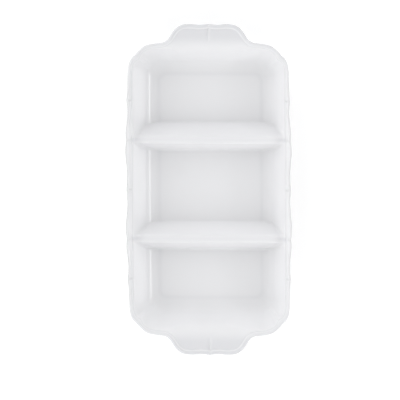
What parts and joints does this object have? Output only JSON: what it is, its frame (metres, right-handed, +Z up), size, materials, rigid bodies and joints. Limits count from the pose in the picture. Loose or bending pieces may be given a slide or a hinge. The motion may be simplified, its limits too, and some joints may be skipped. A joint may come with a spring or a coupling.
{
  "type": "divided serving dish",
  "caption": "Long glazed ceramic serving dish with rounded corners, cross ridges that part it into compartments, a scalloped raised rim and a tab handle at each end.",
  "frame": {"origin": "under the middle of the dish, on the surface that its foot ring stands on", "axes": "+Z up out of the dish, +Y along its length towards the far handle, +X across it to the right"},
  "size_m": [0.2, 0.402, 0.044],
  "materials": {
    "glaze": "white gloss glaze",
    "bisque": "unglazed, ground smooth"
  },
  "bodies": {
    "root": {"foot_ring": "bisque", "floor_far": "glaze", "floor_middle": "glaze", "floor_near": "glaze", "wall_right": "glaze", "wall_left": "glaze", "wall_far": "glaze", "wall_near": "glaze", "divider_far": "glaze", "divider_near": "glaze", "rim_right": "glaze", "rim_left": "glaze", "handle_far": "glaze", "handle_near": "glaze"}
  },
  "joints": []
}
